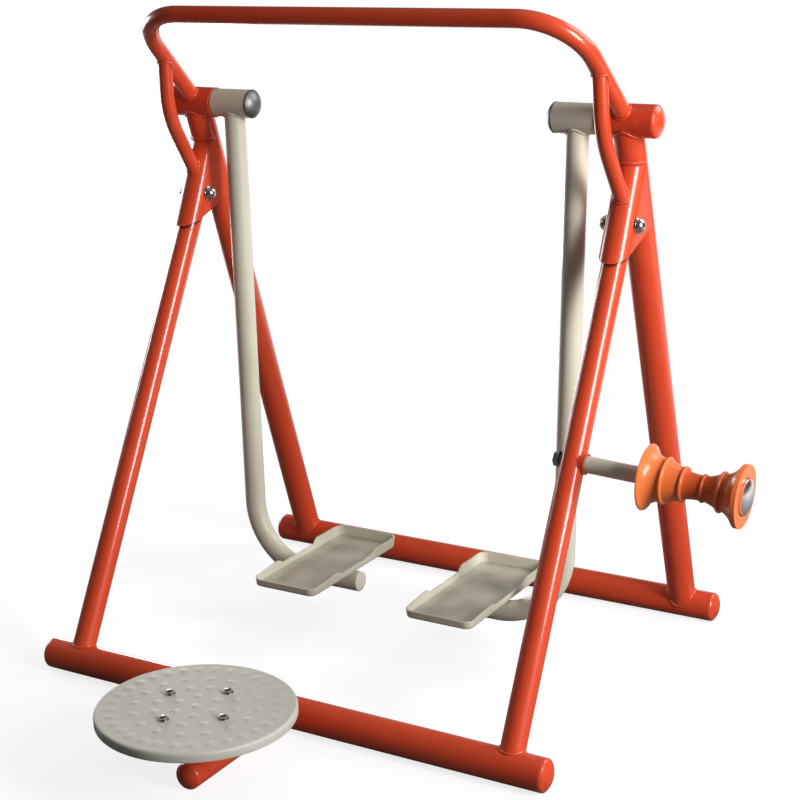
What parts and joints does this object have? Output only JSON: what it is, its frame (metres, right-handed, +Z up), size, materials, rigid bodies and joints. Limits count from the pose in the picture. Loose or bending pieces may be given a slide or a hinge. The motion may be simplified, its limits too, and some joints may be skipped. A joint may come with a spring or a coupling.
{
  "type": "outdoor air walker",
  "caption": "Air walker for a park or yard: a tube A-frame with a front handlebar carries swinging foot arms, with a twist disc at the front and a grip roller on one leg.",
  "frame": {"origin": "on the ground, midway between the side frames and straight below the swing axles", "axes": "+X along the base tubes towards the side with the grip roller, +Z up, -Y towards the twist disc"},
  "size_m": [1.3442, 1.282, 1.277],
  "materials": {
    "orange_coat": "gloss powder coat",
    "cream_coat": "satin powder coat",
    "cream_plastic": "moulded, satin",
    "orange_plastic": "moulded, gloss",
    "bright_chrome": "polished",
    "plated_steel": "zinc plated",
    "bare_steel": "machined",
    "nylon": "moulded"
  },
  "bodies": {
    "frame": {"front_base_tube": "orange_coat", "rear_base_tube": "orange_coat", "base_end_caps": "orange_coat", "front_leg_left": "orange_coat", "front_leg_right": "orange_coat", "rear_leg_left": "orange_coat", "rear_leg_right": "orange_coat", "leg_socket_left": "orange_coat", "leg_socket_right": "orange_coat", "socket_studs": "plated_steel", "socket_washers": "plated_steel", "socket_cap_nuts": "plated_steel", "axle_housing_left": "orange_coat", "axle_housing_right": "orange_coat", "housing_end_caps": "orange_coat", "axle_support_rings": "bare_steel", "axle_shaft_left": "bare_steel", "axle_shaft_right": "bare_steel", "axle_spacers": "bare_steel", "axle_washers": "bare_steel", "axle_lock_nuts": "bare_steel", "handlebar": "orange_coat", "handlebar_strut_left": "orange_coat", "handlebar_strut_right": "orange_coat", "twister_foot_tube": "orange_coat", "twister_foot_cap": "orange_coat", "twister_post": "orange_coat", "twister_bearings": "bare_steel", "roller_boss": "orange_coat", "roller_stub_tube": "cream_coat", "roller_axle": "bare_steel", "roller_axle_washers": "bare_steel", "roller_axle_nuts": "bare_steel"},
    "arm_left": {"arm_hub_left": "cream_coat", "hub_bearings_left": "bare_steel", "hub_cap_left": "bright_chrome", "swing_arm_left": "cream_coat", "arm_plug_left": "cream_coat", "pedal_plate_left": "cream_coat", "pedal_left": "cream_coat"},
    "arm_right": {"arm_hub_right": "cream_coat", "hub_bearings_right": "bare_steel", "hub_cap_right": "bright_chrome", "swing_arm_right": "cream_coat", "arm_plug_right": "cream_coat", "pedal_plate_right": "cream_coat", "pedal_right": "cream_coat"},
    "twister": {"twister_disc": "cream_plastic", "twister_spindle": "bare_steel", "twister_spindle_nut": "bare_steel", "disc_bolts": "plated_steel", "disc_washers": "plated_steel", "disc_nuts": "plated_steel"},
    "roller": {"grip_roller": "orange_plastic", "roller_bushes": "nylon", "roller_cap": "bright_chrome"}
  },
  "joints": [
    {"name": "swing_left", "type": "hinge", "parent": "frame", "child": "arm_left", "pos_m": [-0.376, 0, 1.077], "axis": [1, 0, 0], "range_deg": [-60, 60]},
    {"name": "swing_right", "type": "hinge", "parent": "frame", "child": "arm_right", "pos_m": [0.376, 0, 1.077], "axis": [1, 0, 0], "range_deg": [-60, 60]},
    {"name": "twist_disc_spin", "type": "hinge", "parent": "frame", "child": "twister", "pos_m": [0, -0.708, 0.125], "axis": [0, 0, 1], "continuous": true},
    {"name": "roller_spin", "type": "hinge", "parent": "frame", "child": "roller", "pos_m": [0.47, -0.21266, 0.505], "axis": [0.9986, 0, -0.0523], "continuous": true}
  ]
}
